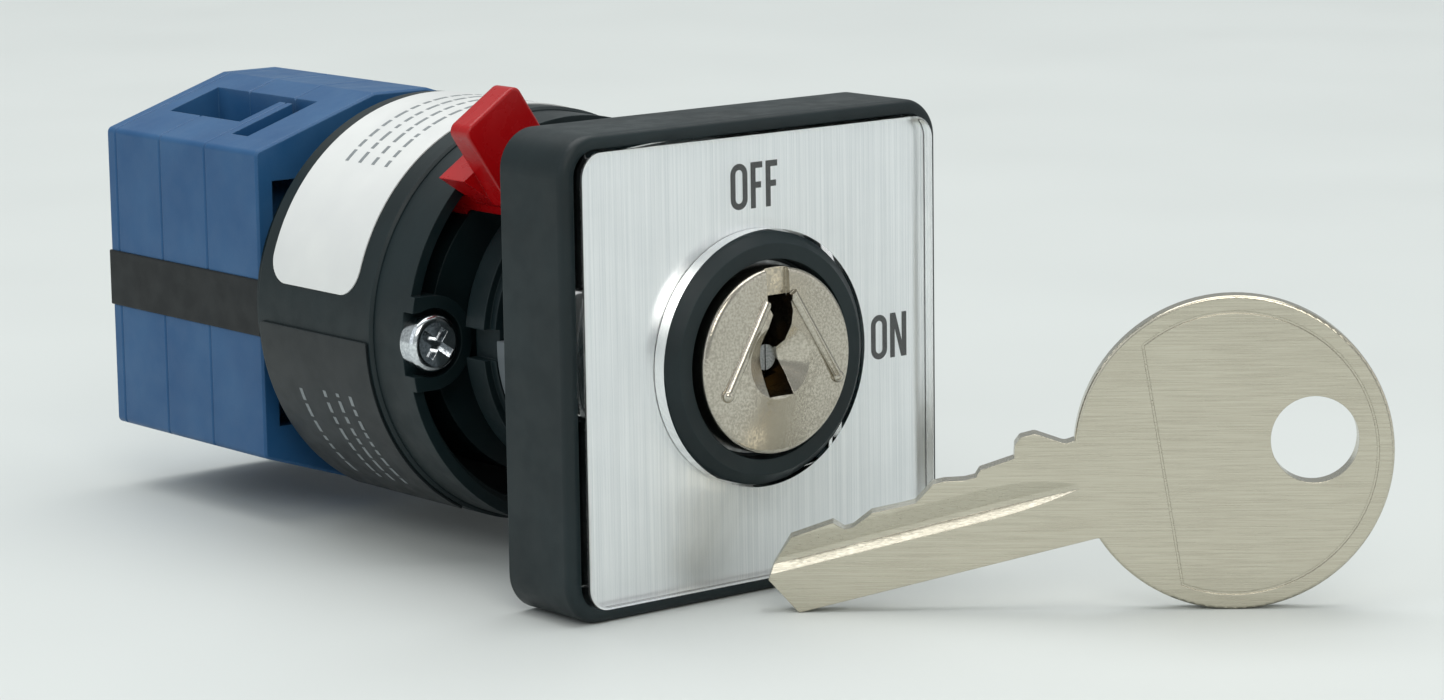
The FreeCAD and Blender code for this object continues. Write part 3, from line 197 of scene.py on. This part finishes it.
def relief(tree, shader, height, depth, edge=0.0):
    """Bump of a depth in mm; edge rounds the corners by a radius in mm."""
    inputs = {"Height": height, "Distance": depth * MM, "Strength": 1.0}
    if edge:
        soft = add(tree, "ShaderNodeBevel", {"Radius": edge * MM}, samples=EDGE_SAMPLES)
        inputs["Normal"] = soft.outputs["Normal"]
    bump = add(tree, "ShaderNodeBump", inputs)
    tree.links.new(bump.outputs["Normal"], shader.inputs["Normal"])


def surface(tree, shader, tone, dark, light, gloss, smooth, rough):
    """Colour runs from dark to light with one height, roughness from smooth to rough with another."""
    shade = add(tree, "ShaderNodeMix", {0: tone, 6: colour(dark), 7: colour(light)}, data_type="RGBA")
    sheen = add(tree, "ShaderNodeMapRange", {**CLOUDS, "Value": gloss, "To Min": smooth, "To Max": rough})
    tree.links.new(shade.outputs[2], shader.inputs["Base Color"])
    tree.links.new(sheen.outputs["Result"], shader.inputs["Roughness"])


# ---- plastics ----
def moulded_plastic(name, base, flow_and_edge_tone, ior, rough, grain=0.12, depth=0.012, edge=0.18):
    """Injection-moulded part from a spark-eroded mould: a fine even grain, edges a little lighter partly
    where they are handled and partly as a painted highlight on every edge, and faint cloudy flow in the
    colour."""
    material, tree, shader = finish(name, IOR=ior, Specular_IOR_Level=0.32)
    flow = add(tree, "ShaderNodeMapRange", {**CLOUDS, "Value": blotches(tree, FLOW_SIZE),
                                            "To Min": 0.0, "To Max": FLOW_SHARE})
    # edges painted lighter all round: part handling wear, part painted highlight
    edge_wear_and_highlight = add(tree, "ShaderNodeMath", {0: worn_and_lit_edge(tree, edge), 1: EDGE_WEAR_AND_HIGHLIGHT_SHARE}, operation="MULTIPLY")
    share = add(tree, "ShaderNodeMath", {0: flow.outputs["Result"], 1: edge_wear_and_highlight.outputs[0]},
                operation="MAXIMUM")
    surface(tree, shader, share.outputs[0], base, flow_and_edge_tone, blotches(tree, GLOSS_SIZE),
            rough - GLOSS_DROP, rough + GLOSS_RISE)
    relief(tree, shader, blotches(tree, grain, detail=2.0), depth, edge)
    return material


def black_polyamide():
    """Glass-filled polyamide of the front frame and housing: blue-black, matt, edges lift to grey from
    wear and a painted edge highlight.
    """
    return moulded_plastic("black_polyamide", "#09181B", "#22363A", 1.53, 0.46)


def blue_polyamide():
    """Coloured-through polyamide of the contact block: satin mid blue."""
    return moulded_plastic("blue_polyamide", "#1F4F7C", "#4F7CA4", 1.53, 0.42, grain=0.16)


def black_strip_polyamide():
    """Snap-in strip between the block halves: plain black, a little duller than the housing."""
    return moulded_plastic("black_strip_polyamide", "#080D0F", "#1E2528", 1.53, 0.5)


def red_polycarbonate():
    """Coloured polycarbonate of the release lever: deep red with a soft gloss."""
    return moulded_plastic("red_polycarbonate", "#A1070C", "#C4161D", 1.585, 0.27, grain=0.3, depth=0.004)


def grey_acetal():
    """Mid-grey acetal, smooth and slightly waxy."""
    return moulded_plastic("grey_acetal", "#5F666A", "#858C90", 1.48, 0.35, depth=0.004)


def white_acetal():
    """Natural acetal of the cams and plungers: milky white, waxy."""
    return moulded_plastic("white_acetal", "#E4E3DC", "#F2F1EC", 1.48, 0.33, depth=0.004)


def marked_pad():
    """Smooth rating pad on the housing: polished in the mould, so it shines a little more."""
    return moulded_plastic("marked_pad", "#12191B", "#2A3438", 1.53, 0.38, grain=0.4, depth=0.003)


def nitrile_rubber():
    """Moulded rubber seal: soft black with a dusty bloom."""
    return moulded_plastic("nitrile_rubber", "#141515", "#2A2B2B", 1.52, 0.7, grain=0.25, depth=0.02)


def clear_acrylic():
    """Cast acrylic cover, polished: what is behind it seems nearer and its edges shine.
    Light from the lamps passes through it straight, so the plate behind isn't dark."""
    material, tree, shader = finish("clear_acrylic", Base_Color=colour("#FDFEFE"), IOR=1.49,
                                    Transmission_Weight=1.0)
    haze = add(tree, "ShaderNodeMapRange", {**CLOUDS, "Value": blotches(tree, 14.0),
                                            "To Min": 0.01, "To Max": 0.035})
    tree.links.new(haze.outputs["Result"], shader.inputs["Roughness"])
    relief(tree, shader, blotches(tree, 11.0, detail=1.0), 0.004)
    lamp_ray = add(tree, "ShaderNodeLightPath").outputs["Is Shadow Ray"]
    clear = add(tree, "ShaderNodeBsdfTransparent", {"Color": colour("#F8FBFC")})
    both = add(tree, "ShaderNodeMixShader", {0: lamp_ray, 1: shader.outputs["BSDF"],
                                             2: clear.outputs["BSDF"]})
    tree.links.new(both.outputs["Shader"], tree.nodes["Material Output"].inputs["Surface"])
    return material


def polyester_label():
    """White polyester film: a smooth satin sheet, very slightly uneven where it is rubbed down."""
    material, tree, shader = finish("polyester_label", IOR=1.57, Coat_Weight=0.3, Coat_Roughness=0.25)
    patch = add(tree, "ShaderNodeMapRange", {**CLOUDS, "Value": blotches(tree, 8.0),
                                             "To Min": 0.0, "To Max": 1.0})
    surface(tree, shader, patch.outputs["Result"], "#DADCDB", "#E0E2E0", blotches(tree, 3.0), 0.32, 0.45)
    relief(tree, shader, blotches(tree, 6.0, detail=1.0), 0.004)
    return material


def printing_ink():
    """Screen-printed legend: flat near-black, drier than the plate under it."""
    material, tree, shader = finish("printing_ink", IOR=1.5, Specular_IOR_Level=0.2)
    surface(tree, shader, blotches(tree, 0.3), "#060809", "#101314", blotches(tree, 0.5), 0.5, 0.62)
    relief(tree, shader, blotches(tree, 0.12), 0.002)
    return material


def faded_print():
    """Thermal print on the labels: mid grey, a little broken."""
    material, tree, shader = finish("faded_print", IOR=1.5)
    surface(tree, shader, blotches(tree, 0.4), "#6E7476", "#8F9597", blotches(tree, 0.5), 0.45, 0.6)
    relief(tree, shader, blotches(tree, 0.15), 0.002)
    return material


# ---- metals ----
def metal(name, dark, light, rough, size, depth, stretch=(1, 1, 1), turn=0.0, edge=0.08, detail=3.0):
    """Metal whose tone, gloss and fine relief all follow one pattern of a size in mm."""
    material, tree, shader = finish(name, Metallic=1.0)
    marks = blotches(tree, size, stretch, turn, detail)
    both = add(tree, "ShaderNodeMix", {0: TARNISH_SHARE, 2: marks, 3: blotches(tree, TARNISH_SIZE)})
    tone = add(tree, "ShaderNodeMapRange", {**CLOUDS, "Value": both.outputs[0],
                                            "To Min": 0.0, "To Max": 1.0})
    surface(tree, shader, tone.outputs["Result"], dark, light, marks, rough + MARK_RISE, rough - MARK_DROP)
    relief(tree, shader, marks, depth, edge)
    return material


def brushed_aluminium():
    """Anodised aluminium sheet, brushed up and down: pale silver with fine upright lines.
    Real lines are 0.05 mm apart; they are drawn 0.16 mm apart so that they show."""
    return metal("brushed_aluminium", "#E6E9EB", "#F8F9FA", 0.36, 0.16, 0.0018, stretch=(1, 1, 160))


def satin_nickel():
    """Nickel-plated die casting, vibratory finished: satin with tiny soft pits 0.24 mm across."""
    return metal("satin_nickel", "#A9A397", "#C4BEB1", 0.19, 0.24, 0.006, detail=1.0)


def ground_nickel_silver():
    """Key blank of nickel silver, ground along the blade: warm grey with fine level scratches."""
    return metal("ground_nickel_silver", "#BCB6A6", "#C7C2B2", 0.22, 0.1, 0.0008, stretch=(60, 1, 1),
                 turn=KEY_TURN, edge=0.12)


def zinc_die_casting():
    """Bare zinc casting: dull grey with small flow patches."""
    return metal("zinc_die_casting", "#8C8F92", "#B2B5B8", 0.4, 0.8, 0.012)


def bright_zinc_plate():
    """Zinc-plated steel screws: bright, faintly blue, a little brushed by the turning."""
    return metal("bright_zinc_plate", "#B9BEC3", "#E6EAED", 0.16, 0.3, 0.004)


def spring_steel():
    """Oil-tempered spring wire and strip: smooth dark grey."""
    return metal("spring_steel", "#6E7073", "#9A9C9F", 0.25, 0.25, 0.003)


def shutter_steel():
    """Stamped steel shutter in the keyway: grey, matt from tumbling."""
    return metal("shutter_steel", "#77797A", "#A0A2A2", 0.36, 0.2, 0.004)


def drawn_steel():
    """Drawn square shaft: bright steel with lines along its length."""
    return metal("drawn_steel", "#8E9194", "#BDC0C3", 0.22, 0.12, 0.003, stretch=(1, 60, 1))


def stamped_brass():
    """Stamped brass wafers deep in the keyway: colour darkened far below clean brass as painted shade for
    the dark keyway, with rubbed faces.
    """
    return metal("stamped_brass", "#3D2F18", "#5C4726", 0.34, 0.2, 0.003)


def contact_copper():
    """Copper contacts: pale pink-brown, slightly dulled."""
    return metal("contact_copper", "#B3744F", "#D6A382", 0.28, 0.3, 0.003)


FINISHES = {
    "black_plastic": black_polyamide, "label_metal": brushed_aluminium, "clear_plastic": clear_acrylic,
    "rubber": nitrile_rubber, "zinc_casting": zinc_die_casting, "nickel_plate": satin_nickel,
    "nickel_silver": ground_nickel_silver, "wafer_brass": stamped_brass, "spring_steel": spring_steel,
    "shutter_steel": shutter_steel, "shaft_steel": drawn_steel, "grey_plastic": grey_acetal,
    "red_plastic": red_polycarbonate, "zinc_plate": bright_zinc_plate, "label_film": polyester_label,
    "pad_plastic": marked_pad, "blue_plastic": blue_polyamide, "strip_plastic": black_strip_polyamide,
    "white_acetal": white_acetal, "contact_copper": contact_copper,
}


def finish_nodes():
    """Gives every CAD node the finish of its slot."""
    made = {slot: build() for slot, build in FINISHES.items()}
    for part in RECORD["subparts"]:
        mesh = NODES[part["node"]].data
        mesh.materials.clear()
        mesh.materials.append(made[part["material_slot"]])


# ---- print ----
def letter_outline(letter, width):
    """Closed outlines of a narrow capital, from its lower left corner; the second is a hole."""
    h, s = LETTER_HEIGHT, LETTER_STROKE
    if letter == "O":
        return [bowl(width / 2, h / 2, 0.0, width), bowl(width / 2, h / 2, s, width)]
    if letter == "F":
        middle = 0.5 * h
        reach = F_BAR_SHARE * width
        return [[(0, 0), (s, 0), (s, middle - s / 2), (reach, middle - s / 2), (reach, middle + s / 2),
                 (s, middle + s / 2), (s, h - s), (width, h - s), (width, h), (0, h)]]
    return [[(0, 0), (s, 0), (s, h - N_SLANT), (width - N_LEAN, 0), (width, 0), (width, h),
             (width - s, h), (width - s, N_SLANT), (N_LEAN, h), (0, h)]]


def bowl(x, z, inset, width):
    """Round-ended upright oval: straight sides between two half circles."""
    radius = width / 2 - inset
    rise = LETTER_HEIGHT / 2 - inset - radius
    points = []
    for end in (1, -1):
        for i in range(BOWL_STEPS + 1):
            angle = math.pi * i / BOWL_STEPS + (0 if end == 1 else math.pi)
            points.append((x + radius * math.cos(angle), z + end * rise + radius * math.sin(angle)))
    return points


def printed_word(name, word, centre):
    """Raised ink letters on the plate's face, centred at (x, z)."""
    total = sum(LETTER_WIDTHS[c] for c in word) + LETTER_GAP * (len(word) - 1)
    bm = bmesh.new()
    x0 = centre[0] - total / 2
    z0 = centre[1] - LETTER_HEIGHT / 2
    for letter in word:
        loops = letter_outline(letter, LETTER_WIDTHS[letter])
        edges = []
        for loop in loops:
            verts = [bm.verts.new((x0 + x, PLATE_FACE_Y, z0 + z)) for x, z in loop]
            edges += [bm.edges.new((a, b)) for a, b in zip(verts, verts[1:] + verts[:1])]
        bmesh.ops.triangle_fill(bm, edges=edges, use_beauty=True)
        x0 += LETTER_WIDTHS[letter] + LETTER_GAP
    front = bmesh.ops.extrude_face_region(bm, geom=list(bm.faces))["geom"]
    for vert in front:
        if isinstance(vert, bmesh.types.BMVert):
            vert.co.y -= INK_THICKNESS
    bmesh.ops.recalc_face_normals(bm, faces=bm.faces)
    piece(name, bm, "switch_body", printing_ink())


def piece(name, bm, body, material):
    """Makes a piece from a bmesh and lets it ride on a CAD body."""
    mesh = bpy.data.meshes.new(name)
    bm.to_mesh(mesh)
    bm.free()
    made = bpy.data.objects.new(name, mesh)
    bpy.context.scene.collection.objects.link(made)
    mesh.materials.append(material)
    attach(made, body)


def curved_bar(bm, radius, clock_from, clock_to, y0, y1):
    """Thin printed bar on the round housing between two clock angles in degrees."""
    steps = max(2, round(abs(clock_to - clock_from) / STEP_DEGREES))
    rows = []
    for r in (radius, radius + INK_THICKNESS):
        for y in (y0, y1):
            row = []
            for i in range(steps + 1):
                a = math.radians(clock_from + (clock_to - clock_from) * i / steps)
                row.append(bm.verts.new((r * math.sin(a), y, r * math.cos(a))))
            rows.append(row)
    inner_front, inner_back, outer_front, outer_back = rows
    for a, b in ((inner_front, inner_back), (outer_back, outer_front), (outer_front, inner_front),
                 (inner_back, outer_back)):
        for i in range(steps):
            bm.faces.new((a[i], a[i + 1], b[i + 1], b[i]))
    for i in (0, steps):
        bm.faces.new((inner_front[i], inner_back[i], outer_back[i], outer_front[i]))


def printed_rows(name, radius, clock_span, row_starts, seed):
    """Rows of short bars that stand for unreadable small print on a label."""
    draw = random.Random(seed)
    bm = bmesh.new()
    for y in row_starts:
        clock = clock_span[0]
        while clock < clock_span[1]:
            length = draw.uniform(*BAR_DEGREES)
            curved_bar(bm, radius, clock, min(clock + length, clock_span[1]), y, y + ROW_HEIGHT)
            clock += length + draw.uniform(*GAP_DEGREES)
    bmesh.ops.recalc_face_normals(bm, faces=bm.faces)
    piece(name, bm, "switch_body", faded_print())


# ---- studio ----
def pale_floor():
    """Matt paper that the switch stands on."""
    bm = bmesh.new()
    bmesh.ops.create_grid(bm, x_segments=FLOOR_CELLS, y_segments=FLOOR_CELLS, size=FLOOR_HALF)
    mesh = bpy.data.meshes.new("pale_floor")
    bm.to_mesh(mesh)
    bm.free()
    floor = bpy.data.objects.new("pale_floor", mesh)
    floor.location.z = FLOOR_Z
    bpy.context.scene.collection.objects.link(floor)
    material, tree, shader = finish("matt_paper", IOR=1.5)
    surface(tree, shader, blotches(tree, 400.0), "#CCD1CF", "#D2D6D4", blotches(tree, 60.0), 0.5, 0.6)
    relief(tree, shader, blotches(tree, 0.4), 0.01)
    mesh.materials.append(material)


def softbox(name, place, side, watts, tone):
    """Square area lamp aimed at the middle of the switch."""
    lamp = bpy.data.lights.new(name, "AREA")
    lamp.size = side
    lamp.energy = watts
    lamp.color = colour(tone)[:3]
    made = bpy.data.objects.new(name, lamp)
    made.location = place
    made.rotation_euler = (Vector(LAMP_AIM) - Vector(place)).to_track_quat("-Z", "Y").to_euler()
    bpy.context.scene.collection.objects.link(made)


def studio():
    """Pale room with soft lamps round the switch."""
    world = bpy.data.worlds.new("pale_room")
    world.use_nodes = True
    background = world.node_tree.nodes["Background"]
    background.inputs["Color"].default_value = colour(ROOM_TONE)
    background.inputs["Strength"].default_value = ROOM_STRENGTH
    bpy.context.scene.world = world
    for name, place, side, watts, tone in LAMPS:
        softbox(name, place, side, watts, tone)
    bpy.context.scene.view_settings.view_transform = "Standard"


def camera():
    """Long lens from the front left, a little above the switch."""
    data = bpy.data.cameras.new("camera")
    data.lens = CAMERA_LENS
    data.sensor_width = CAMERA_SENSOR
    data.clip_start, data.clip_end = CAMERA_RANGE
    made = bpy.data.objects.new("camera", data)
    level = Euler((math.radians(90 + CAMERA_PITCH), 0, math.radians(-CAMERA_HEADING))).to_matrix()
    roll = Matrix.Rotation(math.radians(CAMERA_ROLL), 3, "Z")
    made.matrix_world = Matrix.Translation(CAMERA_PLACE) @ (level @ roll).to_4x4()
    bpy.context.scene.collection.objects.link(made)
    bpy.context.scene.camera = made


camera()
studio()
pale_floor()
finish_nodes()
printed_rows("label_print", LABEL_R, LABEL_PRINT_CLOCK, LABEL_ROWS, LABEL_SEED)
printed_rows("pad_print", PAD_R, PAD_PRINT_CLOCK, PAD_ROWS, PAD_SEED)
printed_word("legend_off", "OFF", OFF_CENTRE)
printed_word("legend_on", "ON", ON_CENTRE)
